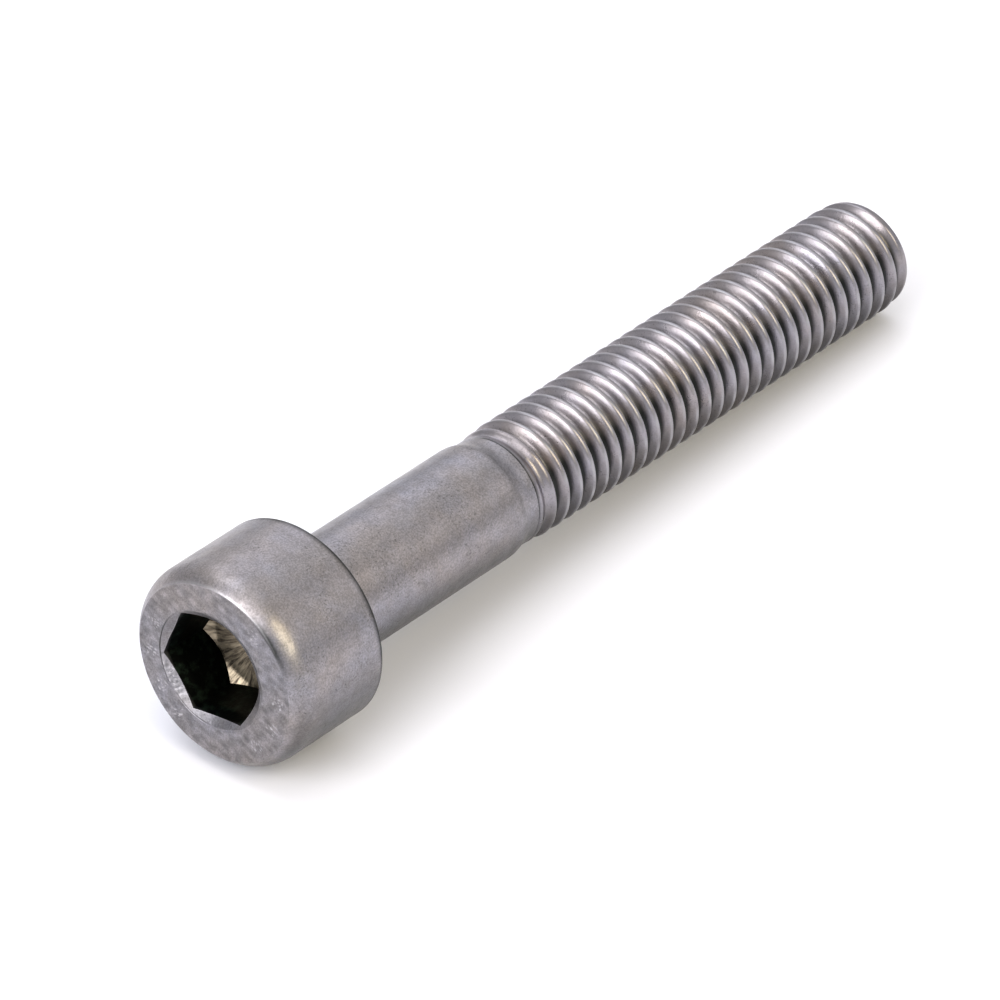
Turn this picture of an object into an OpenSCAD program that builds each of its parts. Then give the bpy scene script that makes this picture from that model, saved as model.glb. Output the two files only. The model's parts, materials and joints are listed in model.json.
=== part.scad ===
// Hex socket cap screw, partly threaded, lying as it comes to rest on a table.
// Millimetres, +Z up. The origin is on the table, under the middle of the screw.
// +X runs from the head towards the tip, along the table.
// The default sizes are those of an M5 x 35 screw.

/* [Length] */
// Length under the head, from the bearing face to the tip
screw_len = 35; // [32:0.5:80]
// Length that carries full thread, measured back from the tip
thread_len = 22; // [8:0.5:26]
// Length of the taper from the plain shank down to the neck
neck_taper_len = 1.1; // [0.3:0.1:1.5]
// Length of the smooth neck
neck_len = 0.5; // [0.2:0.1:1.5]
// Length over which the first turns rise to their full height
rise_len = 1.5; // [0.4:0.1:2.4]

/* [Thread and shank] */
// Nominal thread diameter
thread_d = 5; // [4:0.1:6]
// How much smaller the rolled crests are than the nominal diameter
crest_slack = 0.08; // [0:0.01:0.15]
// How much smaller the plain shank is than the nominal diameter
shank_slack = 0.05; // [0:0.01:0.15]
// How much smaller the smooth neck between shank and thread is than the nominal diameter
neck_step = 0.34; // [0.2:0.02:0.8]
// Radius of the fillet where the shank meets the head
fillet_r = 0.2; // [0.1:0.05:0.4]

/* [Tip] */
// How much smaller the flat end face is than the nominal diameter
tip_step = 0.65; // [0.4:0.05:2]
// Length of the bevel at the tip
tip_bevel_len = 1.6; // [0.3:0.1:2]

/* [Head] */
// Head diameter
head_d = 8.5; // [8:0.1:12]
// Head height
head_h = 4.9; // [4.5:0.1:7]
// How far the rounded edge of the top reaches down the side
round_len = 1; // [0.6:0.05:1.4]
// How far the rounded edge of the top reaches in over the face
round_w = 0.48; // [0.2:0.02:0.56]
// Radius of the small rounding at the rim of the bearing face
rim_r = 0.1; // [0.05:0.01:0.3]

/* [Drive socket] */
// Width across the flats of the hexagon
socket_af = 4.05; // [3:0.05:4.8]
// Depth of the hexagon below the top of the head
socket_depth = 2.5; // [1.5:0.1:3]
// Depth of the shallow cone in the floor of the socket
floor_cone_h = 0.6; // [0.2:0.1:1]
// Width of the flat rim between the cone in the floor and the middle of each flat
floor_rim = 0.05; // [0.05:0.05:0.4]
// How far the punched socket sits off the head's axis, to one side
socket_shift = 0.2; // [0:0.02:0.24]
// Turn of the hexagon about the screw's axis, in degrees
socket_turn = 22; // [0:1:59]
// How much wider the countersink is than the hexagon's corners, on the diameter
countersink_play = 0.32; // [0.1:0.02:0.8]
// Included angle of the countersink, in degrees
countersink_angle = 110; // [90:5:120]

/* [Hidden] */
$fn = 96;
eps = 0.01;
steel_grey = [0.55, 0.55, 0.56];

thread_r = (thread_d - crest_slack) / 2;
shank_r = (thread_d - shank_slack) / 2;
neck_r = (thread_d - neck_step) / 2;
tip_r = (thread_d - tip_step) / 2;
head_r = head_d / 2;
flat_r = head_r - round_w;

// stations along the screw, measured from the bearing face towards the tip
thread_start = screw_len - thread_len;
neck_end = thread_start - rise_len;
neck_start = neck_end - neck_len;
shank_end = neck_start - neck_taper_len;
bevel_start = screw_len - tip_bevel_len;

// the top edge is an arc that is tangent to the side and meets the flat face at a crease
round_r = (round_w * round_w + round_len * round_len) / (2 * round_w);

// hexagon and countersink
corner_r = socket_af / 2 / cos(30);
countersink_r = corner_r + countersink_play / 2;
countersink_end_r = socket_af / 2 - 0.2;
countersink_h = (countersink_r - countersink_end_r) / tan(countersink_angle / 2);

// turn of the round body's seam away from the line that lies on the table
seam_turn = 130;

// the screw lies on the rim of its head and on the start of the tip's bevel
rest_span = bevel_start + rim_r;
rest_drop = head_r - rim_r - thread_r;
rest_tilt = acos(-rim_r / norm([rest_span, rest_drop])) - atan2(rest_span, rest_drop);
axis_height = (head_r - rim_r) * cos(rest_tilt) + rim_r - rim_r * sin(rest_tilt);
tip_x = screw_len * cos(rest_tilt) + tip_r * sin(rest_tilt);
face_x = -head_h * cos(rest_tilt) - flat_r * sin(rest_tilt);

// half section of the head, in the plane of radius and length
module head_section() {
    translate([0, -head_h]) square([flat_r, head_h]);
    translate([0, round_len - head_h]) square([head_r, head_h - round_len - rim_r]);
    translate([0, round_len - head_h]) square([head_r - rim_r, head_h - round_len]);
}

// half section of the arc that rounds the top edge
module top_round_section() {
    intersection() {
        translate([head_r - round_r, round_len - head_h]) circle(r = round_r);
        translate([0, -head_h]) square([head_r + 1, round_len]);
    }
}

// half section of the small rounding at the bearing rim
module rim_section() {
    translate([head_r - rim_r, -rim_r]) circle(r = rim_r);
}

// half section of the fillet under the head
module fillet_section() {
    difference() {
        translate([0, -eps]) square([shank_r + fillet_r, fillet_r + eps]);
        translate([shank_r + fillet_r, fillet_r]) circle(r = fillet_r);
    }
}

// half section of shank, neck, thread and tip
module rod_section() {
    polygon([
        [0, -eps],
        [shank_r, -eps],
        [shank_r, shank_end],
        [neck_r, neck_start],
        [neck_r, neck_end],
        [thread_r, thread_start],
        [thread_r, bevel_start],
        [tip_r, screw_len],
        [0, screw_len]
    ]);
}

// the hexagonal drive socket with its countersink and the cone in its floor
module drive_socket() {
    translate([0, socket_shift, -head_h]) {
        rotate([0, 0, socket_turn])
            translate([0, 0, -1])
                cylinder(r = corner_r, h = socket_depth + 1, $fn = 6);
        cylinder(r1 = countersink_r, r2 = countersink_end_r, h = countersink_h);
        translate([0, 0, -1]) cylinder(r = countersink_r, h = 1);
        translate([0, 0, socket_depth])
            cylinder(r1 = socket_af / 2 - floor_rim, r2 = 0, h = floor_cone_h);
    }
}

// the screw on its own axis: bearing face at z = 0, head below it, tip above it
module screw_solid() {
    difference() {
        rotate([0, 0, seam_turn])
            rotate_extrude() {
                head_section();
                top_round_section();
                rim_section();
                fillet_section();
                rod_section();
            }
        drive_socket();
    }
}

module cap_screw() {
    color(steel_grey)
        translate([-(tip_x + face_x) / 2, 0, axis_height])
            rotate([0, 90 + rest_tilt, 0])
                screw_solid();
}

cap_screw();
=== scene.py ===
import json
import math
import bmesh
import bpy
import numpy as np
from mathutils import Matrix, Vector


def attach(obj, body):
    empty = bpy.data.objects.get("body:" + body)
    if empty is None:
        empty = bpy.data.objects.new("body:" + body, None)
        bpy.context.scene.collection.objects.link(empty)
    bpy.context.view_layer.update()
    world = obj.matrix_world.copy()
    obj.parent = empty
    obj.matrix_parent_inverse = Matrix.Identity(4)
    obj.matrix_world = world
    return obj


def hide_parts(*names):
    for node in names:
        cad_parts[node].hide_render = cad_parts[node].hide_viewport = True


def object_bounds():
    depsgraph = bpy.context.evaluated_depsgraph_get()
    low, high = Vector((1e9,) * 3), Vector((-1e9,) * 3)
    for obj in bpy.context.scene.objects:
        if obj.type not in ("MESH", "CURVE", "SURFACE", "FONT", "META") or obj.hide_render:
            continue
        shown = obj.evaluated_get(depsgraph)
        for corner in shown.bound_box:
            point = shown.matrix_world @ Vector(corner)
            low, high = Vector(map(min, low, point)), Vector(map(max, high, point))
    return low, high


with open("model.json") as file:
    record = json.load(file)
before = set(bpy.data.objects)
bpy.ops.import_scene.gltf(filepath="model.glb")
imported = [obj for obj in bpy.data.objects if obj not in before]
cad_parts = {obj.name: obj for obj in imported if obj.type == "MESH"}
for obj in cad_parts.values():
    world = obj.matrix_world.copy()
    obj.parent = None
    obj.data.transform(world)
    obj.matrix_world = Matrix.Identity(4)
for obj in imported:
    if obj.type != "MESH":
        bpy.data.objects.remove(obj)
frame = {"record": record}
cadBox = [list(corner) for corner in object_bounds()]

# the screw's own frame: z runs along the axis from the bearing face to the tip,
# x points down and y is world y
mounts = {m["name"]: m for m in frame["record"]["mounts"]}
axisDir = Vector(mounts["thread"]["axis"]).normalized()
axisPoint = Vector(mounts["thread"]["pos_m"])
bearingPoint = axisPoint + axisDir * (Vector(mounts["bearing_face"]["pos_m"]) - axisPoint).dot(axisDir)
sideDir = Vector((0, 1, 0))
downDir = sideDir.cross(axisDir)
screwFrame = Matrix.Translation(bearingPoint) @ Matrix((
    (downDir.x, sideDir.x, axisDir.x),
    (downDir.y, sideDir.y, axisDir.y),
    (downDir.z, sideDir.z, axisDir.z))).to_4x4()


def srgb(hexText):
    parts = [int(hexText[i:i + 2], 16) / 255 for i in (1, 3, 5)]
    return tuple(c / 12.92 if c <= 0.04045 else ((c + 0.055) / 1.055) ** 2.4 for c in parts) + (1.0,)


def smooth(lo, hi, x):
    t = np.clip((np.asarray(x, float) - lo) / (hi - lo), 0, 1)
    return t * t * (3 - 2 * t)


def bell(middle, width, x):
    return np.exp(-((x - middle) / width) ** 2)


def softMin(a, b, blend):
    h = np.clip(blend - np.abs(a - b), 0, None) / blend
    return np.minimum(a, b) - h * h * blend / 4


def softMax(a, b, blend):
    return -softMin(-a, -b, blend)


# smooth unevenness from -1 to 1, with lumps of about that size in millimetres
def waves(x, y, z, size, seed):
    r = np.random.default_rng(seed)
    total = np.zeros(np.broadcast(x, y, z).shape)
    for _ in range(9):
        d = r.normal(size=3)
        d *= 2 * math.pi / size * r.uniform(0.6, 1.5) / np.linalg.norm(d)
        total = total + np.sin(d[0] * x + d[1] * y + d[2] * z + r.uniform(0, 2 * math.pi))
    return total / 4.5


# how near a position angle is to a middle one, 1 at the middle and 0 from the reach on, all in degrees
def towards(angle, middle, reach):
    off = np.abs((np.degrees(angle) - middle + 180) % 360 - 180)
    return smooth(reach, 0, off)


# painted shade on the lower side, the side that lies towards the bench; a turn of 0 points down,
# and both limits are cosines of the turn
paintedUnderShade = {"dirtAndShade": 0.62, "begins": -0.4, "full": 0.45}


def underShade(turn):
    return paintedUnderShade["dirtAndShade"] * smooth(paintedUnderShade["begins"], paintedUnderShade["full"], np.cos(turn))


# rows x columns x 3 points in millimetres of the own frame, joined to a skin that closes round each row
def skinOfRings(rings, capStart=False):
    rows, cols = rings.shape[:2]
    verts = rings.reshape(-1, 3)
    r, c = np.meshgrid(np.arange(rows - 1), np.arange(cols), indexing="ij")
    a = r * cols + c
    b = r * cols + (c + 1) % cols
    faces = np.stack([a, b, b + cols, a + cols], -1).reshape(-1, 4).tolist()
    if capStart:
        verts = np.vstack([verts, rings[0].mean(0)[None]])
        faces += [(len(verts) - 1, (j + 1) % cols, j) for j in range(cols)]
    return verts, faces


def makePiece(name, verts, faces, shades):
    mesh = bpy.data.meshes.new(name)
    mesh.from_pydata((verts * 0.001).tolist(), [], faces)
    for label, values in shades.items():
        mesh.attributes.new(label, "FLOAT", "POINT").data.foreach_set("value", values.astype(np.float32))
    mesh.polygons.foreach_set("use_smooth", [True] * len(mesh.polygons))
    mesh.transform(screwFrame)
    mesh.update()
    piece = bpy.data.objects.new(name, mesh)
    bpy.context.scene.collection.objects.link(piece)
    return piece


# head with its drive socket, in millimetres and degrees
headSize = {
    "width": 8.496, "height": 4.9,
    "roundReach": 1.0, "roundInset": 0.48,      # broad rounding of the top edge
    "rimRadius": 0.1, "bearingInner": 2.6,
    "socketFlats": 4.05, "socketDepth": 2.5, "floorCone": 0.6, "floorRim": 0.05,
    "cornerRise": 0.28,                         # the floor curls up into the corners of the hexagon
    "socketTurn": 22.0, "socketShift": 0.2,
    "countersinkPlay": 0.35, "countersinkAngle": 110.0,
    "flatFlare": 0.14, "cornerFlare": 0.06, "mostFlare": 0.2, "flareDepth": 0.5,   # worn mouth of the hexagon
    "wornFlare": 0.1, "wornAngle": 125, "wornReach": 75,   # the mouth is worn further on one side
    "scarAngle": 62, "scarReach": 34, "scarDepth": 0.02,   # the punch has scarred the countersink here
    "lipWidth": 0.05, "lipDrop": 0.035,         # small step round the countersink
    "faceDrop": 0.03,                           # the face lies this much lower than the marks' tops
    "creaseWidth": 0.05, "creaseDepth": 0.03,   # groove between face and rounding
    "creaseAngle": 218,                         # where that groove is deepest
    "unevenness": (0.005, 0.004, 0.002),        # all over, in lumps, in ripples
    "nicks": 110, "nickSize": (0.04, 0.13), "nickDepth": (0.002, 0.01),
    "markAngles": (34, 55, 81, 107, 217, 268, 293, 317), "markRing": 3.2, "markReach": 0.3,
    "markGrain": 0.15,                          # size of the worn lumps the marks consist of
    # painted shade round the countersink and in the crease, painted highlight along the upper edge of the
    # rounding
    "lipShade": ((95, 60), (235, 80)), "creaseShade": (224, 34), "edgeHighlight": (180, 75),   # where, how far
    "columns": 480,
    "rows": {"cone": 22, "rim": 5, "wall": 14, "mouth": 9, "sink": 9, "lip": 3, "face": 36,
             "round": 26, "side": 36, "backRim": 5, "under": 8},
}


def headRings(s):
    n = s["columns"]
    turn = math.radians(s["socketTurn"]) + np.arange(n) * 2 * math.pi / n
    unit = np.stack([np.cos(turn), np.sin(turn), np.zeros(n)], -1)
    shift = np.array([0, s["socketShift"], 0])
    top = -s["height"]
    flatR = s["width"] / 2 - s["roundInset"]
    halfFlats = s["socketFlats"] / 2
    sector = (turn - math.radians(s["socketTurn"])) % (math.pi / 3) - math.pi / 6
    hexR = halfFlats / np.cos(sector)
    cornerness = (hexR / halfFlats - 1) / (1 / math.cos(math.pi / 6) - 1)
    mouthR = hexR + s["flatFlare"] + (s["cornerFlare"] - s["flatFlare"]) * cornerness
    worn = s["wornFlare"] * towards(turn, s["wornAngle"], s["wornReach"])
    mouthR = np.minimum(mouthR + worn, hexR + s["mostFlare"])
    sinkR = halfFlats / math.cos(math.pi / 6) + s["countersinkPlay"] / 2
    mouthZ = top + s["lipDrop"] + (sinkR - mouthR) / math.tan(math.radians(s["countersinkAngle"] / 2))
    floorZ = top + s["socketDepth"]

    def ring(r, z, centre=0.0):
        p = unit * np.broadcast_to(r, (n,))[:, None] + shift * centre
        p[:, 2] = z
        return p

    rows, part = [ring(0.03, floorZ + s["floorCone"], 1)], ["cone"]
    count = s["rows"]

    def reachTo(target, steps, kind, bend=1.0):
        start = rows[-1]
        for i in range(1, steps + 1):
            t = 1 - (1 - i / steps) ** bend
            rows.append(start + (target - start) * t)
            part.append(kind)

    reachTo(ring(halfFlats - s["floorRim"], floorZ, 1), count["cone"], "cone")
    reachTo(ring(hexR, floorZ - s["cornerRise"] * cornerness, 1), count["rim"], "rim")
    reachTo(ring(hexR, mouthZ + s["flareDepth"], 1), count["wall"], "wall")
    reachTo(ring(mouthR, mouthZ, 1), count["mouth"], "wall", bend=1.6)
    reachTo(ring(sinkR, top + s["lipDrop"], 1), count["sink"], "sink")
    wobble = 0.02 * waves(unit[:, 0] * sinkR, unit[:, 1] * sinkR, 0, 0.9, 17)
    reachTo(ring(sinkR + s["lipWidth"] + wobble, top, 1), count["lip"], "lip")
    reachTo(ring(flatR, top), count["face"], "face", bend=1.3)
    reach, inset = s["roundReach"], s["roundInset"]
    arcR = (inset ** 2 + reach ** 2) / (2 * inset)
    start = math.asin(reach / arcR)
    for i in range(1, count["round"] + 1):
        a = start * (1 - (i / count["round"]) ** 1.15)
        rows.append(ring(s["width"] / 2 - arcR * (1 - math.cos(a)), top + reach - arcR * math.sin(a)))
        part.append("round")
    rim = s["rimRadius"]
    reachTo(ring(s["width"] / 2, -rim), count["side"], "side")
    for i in range(1, count["backRim"] + 1):
        a = math.pi / 2 * i / count["backRim"]
        rows.append(ring(s["width"] / 2 - rim * (1 - math.cos(a)), -rim * (1 - math.sin(a))))
        part.append("under")
    reachTo(ring(s["bearingInner"], 0.0), count["under"], "under")
    return np.array(rows), part


def buildHead(s):
    rings, rowPart = headRings(s)
    n = s["columns"]
    verts, faces = skinOfRings(rings, capStart=True)
    part = np.append(np.repeat(np.array(rowPart), n), "cone")
    x, y, z = verts.T
    turn = np.arctan2(y, x)
    turnSocket = np.arctan2(y - s["socketShift"], x)
    fromAxis = np.hypot(x, y)
    top, halfWidth = -s["height"], s["width"] / 2
    flatR = halfWidth - s["roundInset"]
    skin = np.isin(part, ("face", "round", "side")).astype(float)
    r = np.random.default_rng(21)
    # forged unevenness, always inward so that the true width holds
    base, lump, ripple = s["unevenness"]
    sink = skin * (base + lump * waves(x, y, z, 2.4, 11) + ripple * waves(x, y, z, 0.8, 12)).clip(0)
    for k in r.choice(np.flatnonzero(skin), s["nicks"]):
        size, depth = r.uniform(*s["nickSize"]), r.uniform(*s["nickDepth"])
        sink = sink + depth * np.exp(-((verts - verts[k]) ** 2).sum(1) / size ** 2) * skin
    scar = (part == "sink") * towards(turnSocket, s["scarAngle"], s["scarReach"])
    sink = sink + scar * s["scarDepth"] * (0.5 + 0.5 * waves(x, y, z, 0.22, 14))
    # plain worn marks stand up from the face
    raised = np.zeros(len(verts))
    for k, angle in enumerate(s["markAngles"]):
        a = math.radians(angle)
        d = np.hypot(x - s["markRing"] * math.cos(a), y - s["markRing"] * math.sin(a))
        near = smooth(s["markReach"] * 1.4, s["markReach"] * 0.6, d)
        raised = np.maximum(raised, near * smooth(0.1, 0.9, waves(x, y, z, s["markGrain"], 50 + k)))
    level = smooth(flatR + 0.02, flatR - 0.1, fromAxis) * np.isin(part, ("face", "lip"))
    sink = sink + level * s["faceDrop"] * (1 - raised)
    crease = bell(flatR - 0.02, s["creaseWidth"], fromAxis) * (z < top + 0.06)
    sink = sink + crease * (0.1 + 0.9 * towards(turn, s["creaseAngle"], 50)) * s["creaseDepth"]
    # painted shade in the step round the countersink, in the crease, along the back rim and on the lower
    # side;
    # the countersink is darker all over, the face darker in mottled patches
    patchy = 0.5 + 0.3 * waves(x, y, z, 0.7, 18) + 0.2 * waves(x, y, z, 1.9, 22)
    lipShade = np.maximum(*(towards(turnSocket, *where) for where in s["lipShade"]))
    creaseShade = bell(flatR + 0.03, 0.11, fromAxis) * (z < top + 0.3) * towards(turn, *s["creaseShade"])
    backRim = 0.3 + 0.7 * smooth(halfWidth - 0.3, halfWidth - 0.1, fromAxis)
    dirtAndShade = np.maximum((part == "lip") * (0.25 + 0.75 * lipShade), creaseShade * 1.4)
    dirtAndShade = np.maximum(dirtAndShade, smooth(-0.3, -0.06, z) * backRim * (part != "cone"))
    dirtAndShade = dirtAndShade * (0.7 + 0.3 * patchy)
    dirtAndShade = np.maximum(dirtAndShade, (part == "face") * (0.27 + 0.2 * waves(x, y, z, 0.45, 20)).clip(0.06))
    outward = 0.3 + 0.7 * smooth(flatR + 0.1, halfWidth - 0.1, fromAxis)
    dirtAndShade = np.maximum(dirtAndShade, underShade(turn) * outward * np.isin(part, ("round", "side")))
    dirtAndShade = np.maximum(dirtAndShade, 0.35 * (part == "sink") * (0.5 + patchy))
    # the marks and the scar are worn bright; along the upper edge of the rounding lies a painted highlight
    wearAndHighlight = np.maximum(raised * level * 0.8, scar * (0.5 + 0.5 * waves(x, y, z, 0.2, 19)).clip(0, 1))
    topEdge = bell(flatR + 0.03, 0.05, fromAxis) * (z < top + 0.1)
    wearAndHighlight = np.maximum(wearAndHighlight, topEdge * towards(turn, *s["edgeHighlight"]) * 0.6)
    piece = makePiece("capHead", verts, faces, {
        "dirtAndShade": dirtAndShade, "wearAndHighlight": wearAndHighlight, "deep": np.clip((z - top - 0.15) / 0.8, 0, 1),
        "aroundX": np.cos(turnSocket), "aroundY": np.sin(turnSocket),
        "fromSocket": np.hypot(x, y - s["socketShift"])})
    mesh = piece.data
    mesh.set_sharp_from_angle(angle=math.radians(33))
    normals = np.empty(len(verts) * 3, np.float32)
    mesh.vertices.foreach_get("normal", normals)
    places = np.empty(len(verts) * 3, np.float32)
    mesh.vertices.foreach_get("co", places)
    places = places.reshape(-1, 3) - normals.reshape(-1, 3) * (sink * 0.001)[:, None]
    mesh.vertices.foreach_set("co", places.reshape(-1).astype(np.float32))
    # the floor and its rim are bare, the walls painted dark as shade, all the rest tumbled
    rowSlot = {"cone": 2, "rim": 2, "wall": 1}
    slots = np.repeat([rowSlot.get(kind, 0) for kind in rowPart[1:]], n)
    mesh.polygons.foreach_set("material_index", np.append(slots, np.full(n, 2)).astype(np.int32))
    mesh.update()
    return piece


head = buildHead(headSize)
print("head built:", len(head.data.polygons), "faces")


# plain shank with its shoulder and collar, in millimetres
shankSize = {
    "radius": 2.475, "filletRadius": 0.2,
    "shoulder": 10.45, "collarStart": 11.0, "collarEnd": 11.5, "collarRadius": 2.33, "sharpness": 0.7,
    "unevenness": (0.003, 0.0015, 0.0008),      # all over, in lumps, in ripples
    "columns": 160,
}


def buildShank(s):
    fillet = s["filletRadius"]
    stations = np.concatenate([
        fillet * (1 - np.cos(np.linspace(0, math.pi / 2, 9))),
        np.linspace(fillet, s["shoulder"], 60)[1:],
        np.linspace(s["shoulder"], s["collarStart"], 30)[1:],
        np.linspace(s["collarStart"], s["collarEnd"], 9)[1:]])
    turn = np.arange(s["columns"]) * 2 * math.pi / s["columns"]
    z, a = np.meshgrid(stations, turn, indexing="ij")
    bow = fillet - np.sqrt(np.clip(fillet ** 2 - (fillet - np.clip(z, 0, fillet)) ** 2, 0, None))
    # the shoulder is a plain cone with both its ends only slightly rounded
    along = (z - s["shoulder"]) / (s["collarStart"] - s["shoulder"])
    along = softMax(softMin(along, 1.0, 1 - s["sharpness"]), 0.0, 1 - s["sharpness"])
    along = along.clip(0, 1)
    r = s["radius"] + bow - (s["radius"] - s["collarRadius"]) * along
    x, y = r * np.cos(a), r * np.sin(a)
    calm = smooth(0.0, 0.6, z) * smooth(s["collarEnd"], s["collarEnd"] - 0.3, z)
    base, lump, ripple = s["unevenness"]
    r = r - calm * (base + lump * waves(x, y, z, 2.2, 31) + ripple * waves(x, y, z, 0.7, 32)).clip(0)
    rings = np.stack([r * np.cos(a), r * np.sin(a), z], -1)
    verts, faces = skinOfRings(rings)
    # painted shade next to the head, in a line at the shoulder and on the lower side
    patchy = 0.5 + 0.5 * waves(x, y, z, 0.8, 33)
    dirtAndShade = smooth(0.9, 0.0, z) * (0.35 + 0.4 * patchy)
    dirtAndShade = dirtAndShade + 0.35 * bell(s["shoulder"] + 0.1, 0.12, z) * patchy
    dirtAndShade = np.maximum(dirtAndShade, underShade(a))
    return makePiece("plainShank", verts, faces, {
        "dirtAndShade": dirtAndShade.reshape(-1), "wearAndHighlight": np.zeros(len(verts))})


shank = buildShank(shankSize)
print("shank built:", len(shank.data.polygons), "faces")


# rolled thread and tip, in millimetres
threadSize = {
    "pitch": 0.8, "crestPhase": 0.611,          # where a crest stands on the side that faces down
    "crestRadius": 2.46, "pitchRadius": 2.24, "rootRadius": 2.009,
    "crestBlend": 0.11, "rootBlend": 0.16,
    "start": 11.5, "startRadius": 2.33, "fullFrom": 12.9,
    "bevelStart": 33.9, "end": 34.98, "endRadius": 2.31, "edgeRadius": 0.14, "dish": 0.1,
    "lineDepth": (0.008, 0.03), "lineAngle": 350, "lineWidth": 0.06,   # fine line next to the collar
    "rootShadeRadii": (2.26, 2.1), "rubRadii": (2.4, 2.45),   # painted shade fills the roots, handling rubs the crests
    "columns": 152, "rowsPerTurn": 20, "capRows": 14,
}


def threadRadius(s, z, a):
    along = (z - s["crestPhase"]) / s["pitch"] - a / (2 * math.pi)
    off = np.abs((along + 0.5) % 1 - 0.5) * s["pitch"]
    flank = s["pitchRadius"] + (s["pitch"] / 4 - off) * math.sqrt(3)
    full = softMax(softMin(flank, s["crestRadius"], s["crestBlend"]), s["rootRadius"], s["rootBlend"])
    grow = smooth(s["start"] - 0.2, s["fullFrom"], z)
    r = s["startRadius"] + (full - s["startRadius"]) * grow * smooth(s["start"], s["start"] + 0.1, z)
    # the rolling die leaves a fine line next to the collar, deepest underneath
    low = 0.5 + 0.5 * np.cos(a - math.radians(s["lineAngle"]))
    least, more = s["lineDepth"]
    r = r - (least + more * low) * bell(s["start"] + 0.03, s["lineWidth"], z)
    # the blank was beveled before rolling, so the last turns stay low
    bevel = s["crestRadius"] - np.clip(z - s["bevelStart"], 0, None) / (s["end"] - s["bevelStart"]) * (
        s["crestRadius"] - s["endRadius"])
    fade = smooth(s["bevelStart"], s["end"] + 0.3, z)
    r = softMin(r + (bevel - 0.05 - r).clip(0) * fade, bevel, 0.06)
    edge = s["edgeRadius"]
    over = np.clip(z - (s["end"] - edge), 0, edge)
    return r - (edge - np.sqrt(np.clip(edge ** 2 - over ** 2, 0, None)))


def buildThread(s):
    n, m, pitch = s["columns"], s["rowsPerTurn"], s["pitch"]
    last = s["end"] - 0.03
    # rows lie closer where the profile is steep, so that each has the same length of surface
    fine = np.linspace(0, 1, 2001)
    profile = threadRadius(s, s["crestPhase"] + pitch * (25 + fine), np.zeros_like(fine))
    length = np.concatenate([[0], np.cumsum(np.hypot(np.diff(profile), np.diff(fine) * pitch))])
    phases = np.interp(np.arange(m) / m * length[-1], length, fine)
    firstTurn = math.floor((s["start"] - s["crestPhase"]) / pitch) - 2
    lastTurn = math.ceil((last - s["crestPhase"]) / pitch) + 1
    q = (np.arange(firstTurn, lastTurn)[:, None] + phases[None, :]).reshape(-1)
    turn = np.arange(n) * 2 * math.pi / n
    z = s["crestPhase"] + pitch * (q[:, None] + turn[None, :] / (2 * math.pi))
    z = np.clip(z, s["start"], last)
    a = np.broadcast_to(turn[None, :], z.shape)
    rows = len(q)
    index = np.arange(rows * n).reshape(rows, n)
    # after one full round a row meets the row one turn further on
    here, up = index[:rows - m - 1], index[1:rows - m]
    right = np.concatenate([here[:, 1:], index[m:rows - 1, :1]], 1)
    rightUp = np.concatenate([up[:, 1:], index[m + 1:rows, :1]], 1)
    quads = np.stack([here, right, rightUp, up], -1).reshape(-1, 4)
    zq = z.reshape(-1)[quads]
    quads = quads[(zq.max(1) > s["start"] + 1e-6) & (zq.min(1) < last - 1e-6)]
    r = threadRadius(s, z, a)
    verts = np.stack([r * np.cos(a), r * np.sin(a), z], -1).reshape(-1, 3)
    faces = quads.tolist()
    # the end face is a shallow dish left by shearing
    edgeR = threadRadius(s, np.full(n, last), turn)
    base = len(verts)
    capRows = []
    for t in np.concatenate([[0], np.linspace(0.04, 1, s["capRows"])]):
        rr = edgeR * (1 - t) + 0.04 * t
        zz = last + 0.03 * smooth(0, 0.06, t) - s["dish"] * smooth(0.15, 1.0, t)
        capRows.append(np.stack([rr * np.cos(turn), rr * np.sin(turn), np.full(n, zz)], -1))
    verts = np.vstack([verts, np.array(capRows).reshape(-1, 3), capRows[-1].mean(0)[None]])
    for i in range(len(capRows) - 1):
        k = base + i * n
        faces += [(k + j, k + (j + 1) % n, k + n + (j + 1) % n, k + n + j) for j in range(n)]
    k = base + (len(capRows) - 1) * n
    faces += [(len(verts) - 1, k + j, k + (j + 1) % n) for j in range(n)]
    # points that fell together at both ends are joined
    work = bmesh.new()
    rough = bpy.data.meshes.new("roughThread")
    rough.from_pydata((verts * 0.001).tolist(), [], faces)
    work.from_mesh(rough)
    bmesh.ops.remove_doubles(work, verts=work.verts, dist=2e-7)
    bmesh.ops.delete(work, geom=[v for v in work.verts if not v.link_faces], context="VERTS")
    work.verts.index_update()
    verts = np.array([v.co for v in work.verts]) * 1000
    faces = [[v.index for v in f.verts] for f in work.faces]
    work.free()
    bpy.data.meshes.remove(rough)
    x, y, z = verts.T
    fromAxis = np.hypot(x, y)
    threaded = smooth(s["start"] + 0.3, s["fullFrom"], z) * (z < s["end"] - 0.2)
    turn = np.arctan2(y, x)
    # painted shade in the roots, strongest on the sides and underneath, weakest on top
    rootShadeSides = 0.3 + 0.7 * smooth(0.98, 0.5, np.cos(turn - math.pi))
    dirtAndShade = 0.92 * smooth(*s["rootShadeRadii"], fromAxis) * threaded * rootShadeSides
    # painted shade in the fine line next to the collar
    dirtAndShade = np.maximum(dirtAndShade, 0.95 * bell(s["start"] + 0.02, 0.07, z))
    dirtAndShade = np.maximum(dirtAndShade, underShade(turn))
    wearAndHighlight = smooth(*s["rubRadii"], fromAxis) * threaded * (0.5 + 0.5 * waves(x, y, z, 0.9, 41))
    return makePiece("rolledThread", verts, faces, {"dirtAndShade": dirtAndShade, "wearAndHighlight": wearAndHighlight.clip(0, 1)})


thread = buildThread(threadSize)
print("thread built:", len(thread.data.polygons), "faces")


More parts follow.
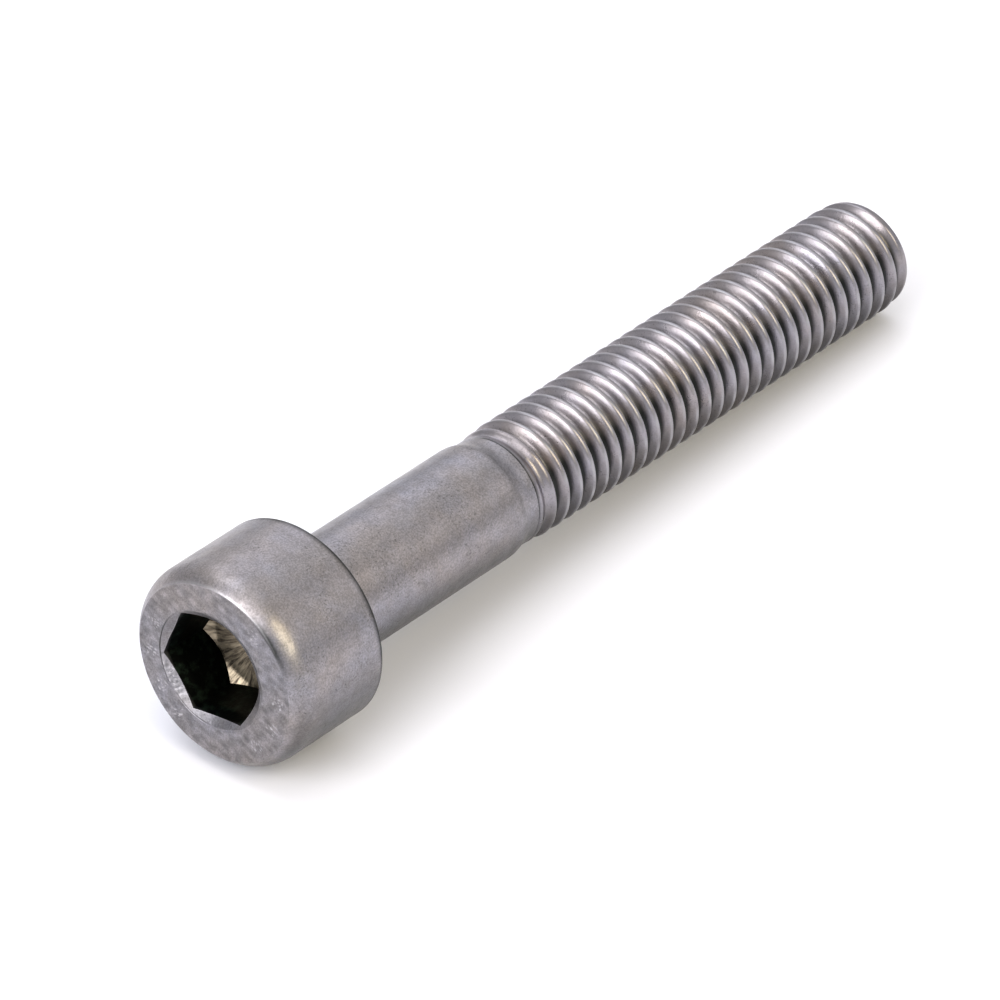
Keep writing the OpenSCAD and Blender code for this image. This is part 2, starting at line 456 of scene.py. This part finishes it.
def add(tree, kind, inputs=None, **settings):
    made = tree.nodes.new("ShaderNode" + kind)
    for key, value in settings.items():
        setattr(made, key, value)
    for key, value in (inputs or {}).items():
        if isinstance(value, bpy.types.NodeSocket):
            tree.links.new(value, made.inputs[key])
        else:
            made.inputs[key].default_value = value
    return made


def blank(name):
    material = bpy.data.materials.new(name)
    material.use_nodes = True
    material.node_tree.nodes.clear()
    return material, material.node_tree


# outer steel; noise scales are features per millimetre of the real screw
def outerSteel(name, look):
    material, tree = blank(name)
    coord = add(tree, "TexCoord")
    mm = add(tree, "VectorMath", {0: coord.outputs["Object"], "Scale": 1000.0},
             operation="SCALE").outputs[0]
    dirtAndShadeIn = add(tree, "Attribute", attribute_name="dirtAndShade").outputs["Fac"]
    wearAndHighlightIn = add(tree, "Attribute", attribute_name="wearAndHighlight").outputs["Fac"]
    # cool and warm patches some 3 mm wide: heat tint and tumbling residue
    patch = add(tree, "TexNoise", {"Vector": mm, "Scale": look["patchScale"], "Detail": 3.0,
                                   "Roughness": 0.6})
    patchy = add(tree, "MapRange", {"Value": patch.outputs[0], "From Min": 0.36, "From Max": 0.64})
    tone = add(tree, "Mix", {0: patchy.outputs[0], 6: srgb(look["cool"]), 7: srgb(look["warm"])},
               data_type="RGBA")
    # darker clouds of half a millimetre
    cloud = add(tree, "TexNoise", {"Vector": mm, "Scale": look["cloudScale"], "Detail": 5.0,
                                   "Roughness": 0.62})
    cloudy = add(tree, "MapRange", {"Value": cloud.outputs[0], "From Min": 0.42, "From Max": 0.68,
                                    "To Max": look["clouding"]})
    clouded = add(tree, "Mix", {0: cloudy.outputs[0], 6: tone.outputs[2], 7: srgb(look["dull"])},
                  data_type="RGBA")
    # real tumbling grain is finer; it is drawn coarser, at 0.08 mm, so that it shows
    fine = add(tree, "TexNoise", {"Vector": mm, "Scale": look["grainScale"], "Detail": 2.0, "Roughness": 0.6})
    finer = add(tree, "MapRange", {"Value": fine.outputs[0], "From Min": 0.3, "From Max": 0.7,
                                   "To Min": 1 - look["grain"], "To Max": 1 + look["grain"]})
    grained = add(tree, "VectorMath", {0: clouded.outputs[2], "Scale": finer.outputs[0]},
                  operation="SCALE")
    # dark pits of a tenth of a millimetre, also drawn coarser than real, gather in some places
    grain = add(tree, "TexNoise", {"Vector": mm, "Scale": look["pitScale"], "Detail": 2.0, "Roughness": 0.6})
    where = add(tree, "TexNoise", {"Vector": mm, "Scale": look["gatherScale"], "Detail": 2.0})
    dense = add(tree, "MapRange", {"Value": where.outputs[0], "From Min": 0.4, "From Max": 0.62,
                                   "To Min": 0.72, "To Max": look["pitLevel"]})
    over = add(tree, "Math", {0: grain.outputs[0], 1: dense.outputs[0]}, operation="SUBTRACT")
    pit = add(tree, "MapRange", {"Value": over.outputs[0], "From Min": 0.0, "From Max": 0.07,
                                 "To Max": look["pits"]})
    pitted = add(tree, "Mix", {0: pit.outputs[0], 6: grained.outputs[0], 7: srgb(look["pit"])},
                 data_type="RGBA")
    # the dark colour lays painted shade, and the face's darker tone, over the steel
    dirt = add(tree, "Mix", {0: dirtAndShadeIn, 6: pitted.outputs[2], 7: srgb(look["dirtAndShade"])}, data_type="RGBA")
    # the bright colour is wear on marks, scar and crests, and a painted highlight on the upper edge
    brightWearAndHighlight = add(tree, "Mix", {0: wearAndHighlightIn, 6: dirt.outputs[2], 7: srgb(look["brightWearAndHighlight"])}, data_type="RGBA")
    rough = add(tree, "MapRange", {"Value": cloud.outputs[0], "From Min": 0.3, "From Max": 0.7,
                                   "To Min": look["roughness"][0], "To Max": look["roughness"][1]})
    rubRough = add(tree, "Mix", {0: wearAndHighlightIn, 2: rough.outputs[0], 3: look["rubbedRoughness"]},
                   data_type="FLOAT")
    dents = add(tree, "TexNoise", {"Vector": mm, "Scale": look["dentScale"], "Detail": 2.0})
    dentBump = add(tree, "Bump", {"Strength": 1.0, "Distance": look["dentDepth"] * 0.001,
                                  "Height": dents.outputs[0]})
    gritBump = add(tree, "Bump", {"Strength": 1.0, "Distance": look["gritDepth"] * 0.001,
                                  "Height": fine.outputs[0], "Normal": dentBump.outputs[0]})
    pitBump = add(tree, "Bump", {"Strength": 1.0, "Distance": look["pitDepth"] * 0.001,
                                 "Height": pit.outputs[0], "Normal": gritBump.outputs[0]}, invert=True)
    shader = add(tree, "BsdfPrincipled", {
        "Base Color": brightWearAndHighlight.outputs[2], "Metallic": 1.0,
        "Roughness": rubRough.outputs[0], "Normal": pitBump.outputs[0]})
    add(tree, "OutputMaterial", {"Surface": shader.outputs[0]})
    return material


# stainless steel, tumbled: satin grey with fine grain, so that no edge of a reflection stays sharp
tumbledLook = {
    "cool": "#96949a", "warm": "#9b9492", "dull": "#807c7b", "pit": "#4b4b4a",
    # dark colour for painted shade, bright colour for wear and a painted highlight
    "dirtAndShade": "#1e221d", "brightWearAndHighlight": "#c2bfc2",
    "patchScale": 0.33, "cloudScale": 1.7, "grainScale": 13.0, "pitScale": 11.0, "gatherScale": 0.6,
    "clouding": 0.5, "grain": 0.24, "pits": 0.5, "pitLevel": 0.58,
    "roughness": (0.32, 0.42), "rubbedRoughness": 0.22,
    "dentScale": 2.0, "dentDepth": 0.012, "gritDepth": 0.006, "pitDepth": 0.01,   # depths in millimetres
}
# stainless steel, thread rolled: the die has pressed it smoother; its roots take a painted shade
rolledLook = dict(
    tumbledLook, cool="#9b989f", warm="#9c9493", dirtAndShade="#161d17", brightWearAndHighlight="#a9a8ab",
    clouding=0.35, grain=0.08, pits=0.4, roughness=(0.26, 0.34), rubbedRoughness=0.34,
    dentDepth=0.008, gritDepth=0.002, pitDepth=0.004)


# stainless steel, punched: painted almost black with a faint green tint as painted shade, so the socket
# looks dark to the bottom
def shadedWallSteel(name, look):
    material, tree = blank(name)
    coord = add(tree, "TexCoord")
    mm = add(tree, "VectorMath", {0: coord.outputs["Object"], "Scale": 1000.0},
             operation="SCALE").outputs[0]
    deep = add(tree, "Attribute", attribute_name="deep").outputs["Fac"]
    cloud = add(tree, "TexNoise", {"Vector": mm, "Scale": look["bloomScale"], "Detail": 4.0,
                                   "Roughness": 0.6})
    cloudy = add(tree, "MapRange", {"Value": cloud.outputs[0], "From Min": 0.5, "From Max": 0.7})
    colour = add(tree, "Mix", {0: cloudy.outputs[0], 6: srgb(look["paintedShade"]), 7: srgb(look["shadeTint"])},
                 data_type="RGBA")
    # nearest the mouth the wall is lighter grey, fading into the painted shade below
    mouth = add(tree, "MapRange", {"Value": deep, "From Min": 0.0, "From Max": look["mouthReach"],
                                   "To Min": look["mouthShare"], "To Max": 0.0})
    worn = add(tree, "Mix", {0: mouth.outputs[0], 6: colour.outputs[2], 7: srgb(look["mouth"])},
               data_type="RGBA")
    scratches = add(tree, "TexNoise", {"Vector": mm, "Scale": look["gritScale"], "Detail": 3.0})
    bump = add(tree, "Bump", {"Strength": 1.0, "Distance": look["gritDepth"] * 0.001,
                              "Height": scratches.outputs[0]})
    shader = add(tree, "BsdfPrincipled", {
        "Base Color": worn.outputs[2], "Metallic": 1.0, "Roughness": look["roughness"],
        "Normal": bump.outputs[0]})
    add(tree, "OutputMaterial", {"Surface": shader.outputs[0]})
    return material


shadedWallLook = {
    "paintedShade": "#101210", "shadeTint": "#2c3a30", "mouth": "#77777a", "mouthReach": 0.2, "mouthShare": 0.5,
    "bloomScale": 2.2, "gritScale": 9.0, "roughness": 0.45, "gritDepth": 0.008,
}


# stainless steel, torn by the punch: bare metal with dark and light streaks that run to the middle
def floorSteel(name, look):
    material, tree = blank(name)
    across = add(tree, "Attribute", attribute_name="aroundX").outputs["Fac"]
    along = add(tree, "Attribute", attribute_name="aroundY").outputs["Fac"]
    away = add(tree, "Attribute", attribute_name="fromSocket").outputs["Fac"]
    short = add(tree, "Math", {0: away, 1: look["streakChange"]}, operation="MULTIPLY")
    around = add(tree, "CombineXYZ", {0: across, 1: along, 2: short.outputs[0]}).outputs[0]
    streak = add(tree, "TexNoise", {"Vector": around, "Scale": look["streaks"], "Detail": 4.0,
                                     "Roughness": 0.7})
    strength = add(tree, "MapRange", {"Value": streak.outputs[0], "From Min": 0.38, "From Max": 0.62})
    colour = add(tree, "Mix", {0: strength.outputs[0], 6: srgb(look["dark"]), 7: srgb(look["light"])},
                 data_type="RGBA")
    bump = add(tree, "Bump", {"Strength": 1.0, "Distance": look["streakDepth"] * 0.001,
                              "Height": streak.outputs[0]})
    shader = add(tree, "BsdfPrincipled", {
        "Base Color": colour.outputs[2], "Metallic": 1.0, "Roughness": look["roughness"],
        "Normal": bump.outputs[0]})
    add(tree, "OutputMaterial", {"Surface": shader.outputs[0]})
    return material


floorLook = {
    "dark": "#38322b", "light": "#a0947f", "roughness": 0.32,
    "streaks": 9.0, "streakChange": 0.12, "streakDepth": 0.02,   # streaks per radian, change per millimetre
}

tumbledSteel = outerSteel("stainlessSteelTumbled", tumbledLook)
rolledSteel = outerSteel("stainlessSteelThreadRolled", rolledLook)
for material in (tumbledSteel, shadedWallSteel("stainlessSteelPunchedPaintedShade", shadedWallLook),
                 floorSteel("stainlessSteelPunchedBare", floorLook)):
    head.data.materials.append(material)
shank.data.materials.append(tumbledSteel)
thread.data.materials.append(rolledSteel)
print("steel made")


# plain white paper, uncoated: matte, and so brightly lit that no grain of it shows
paperLook = {"halfWidth": 1.5, "colour": "#f0f1f7", "roughness": 0.9}
corners = [(x * paperLook["halfWidth"], y * paperLook["halfWidth"], 0)
           for x, y in ((-1, -1), (1, -1), (1, 1), (-1, 1))]
floorMesh = bpy.data.meshes.new("paperFloor")
floorMesh.from_pydata(corners, [], [(0, 1, 2, 3)])
floor = bpy.data.objects.new("paperFloor", floorMesh)
bpy.context.scene.collection.objects.link(floor)
paper = bpy.data.materials.new("matteWhitePaper")
paper.use_nodes = True
paper.node_tree.nodes["Principled BSDF"].inputs["Base Color"].default_value = srgb(paperLook["colour"])
paper.node_tree.nodes["Principled BSDF"].inputs["Roughness"].default_value = paperLook["roughness"]
floorMesh.materials.append(paper)

# each lamp stands in a direction from the screw, in degrees, metres and watts
centre = (Vector(cadBox[0]) + Vector(cadBox[1])) / 2
studio = {
    "key": {"around": 174, "up": 32, "away": 0.6, "size": 0.46, "watts": 2.4, "tint": "#fffdff"},
    "keyHigh": {"around": 190, "up": 60, "away": 0.6, "size": 0.45, "watts": 0.65, "tint": "#fffcff"},
    "overhead": {"around": 60, "up": 80, "away": 0.8, "size": 0.7, "watts": 0.9, "tint": "#fffdff"},
    "back": {"around": 90, "up": 62, "away": 0.8, "size": 0.5, "watts": 0.9, "tint": "#fbfbff"},
    "warm": {"around": -95, "up": 40, "away": 0.6, "size": 0.4, "watts": 1.3, "tint": "#fff0c8"},
    "frontCool": {"around": 45, "up": 38, "away": 0.8, "size": 0.5, "watts": 0.63, "tint": "#f0f2ff"},
    "frontMiddle": {"around": 5, "up": 48, "away": 0.8, "size": 0.5, "watts": 0.3, "tint": "#ffffff"},
    "backLow": {"around": 62, "up": 25, "away": 0.8, "size": 0.5, "watts": 0.2, "tint": "#fbfbff"},
    "frontRight": {"around": -45, "up": 34, "away": 0.8, "size": 0.5, "watts": 0.4, "tint": "#fffafa"},
}
surround = {"colour": "#fafbff", "strength": 0.57}
for label, lamp in studio.items():
    data = bpy.data.lights.new(label + "Light", "AREA")
    data.shape = "DISK"
    data.size = lamp["size"]
    data.energy = lamp["watts"]
    data.color = srgb(lamp["tint"])[:3]
    light = bpy.data.objects.new(label + "Light", data)
    bpy.context.scene.collection.objects.link(light)
    around, up = math.radians(lamp["around"]), math.radians(lamp["up"])
    way = Vector((math.cos(up) * math.cos(around), math.cos(up) * math.sin(around), math.sin(up)))
    light.location = centre + way * lamp["away"]
    light.rotation_euler = way.to_track_quat("Z", "Y").to_euler()

world = bpy.data.worlds.new("studio")
bpy.context.scene.world = world
world.use_nodes = True
world.node_tree.nodes["Background"].inputs["Color"].default_value = srgb(surround["colour"])
world.node_tree.nodes["Background"].inputs["Strength"].default_value = surround["strength"]
bpy.context.scene.view_settings.view_transform = "Standard"

# metres, degrees and millimetres of focal length
view = {"place": (-0.2012635, -0.1669634, 0.1992596), "yaw": 40.115, "pitch": 37.139, "lens": 299.24}
lensData = bpy.data.cameras.new("studioCamera")
lensData.lens = view["lens"]
lensData.sensor_width = 36
lensData.clip_start = 0.01
camera = bpy.data.objects.new("studioCamera", lensData)
bpy.context.scene.collection.objects.link(camera)
camera.location = view["place"]
camera.rotation_euler = (math.radians(90 - view["pitch"]), 0, math.radians(view["yaw"] - 90))
bpy.context.scene.camera = camera

for piece in (head, shank, thread):
    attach(piece, "root")
    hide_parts("cap_screw")
print("scene ready")
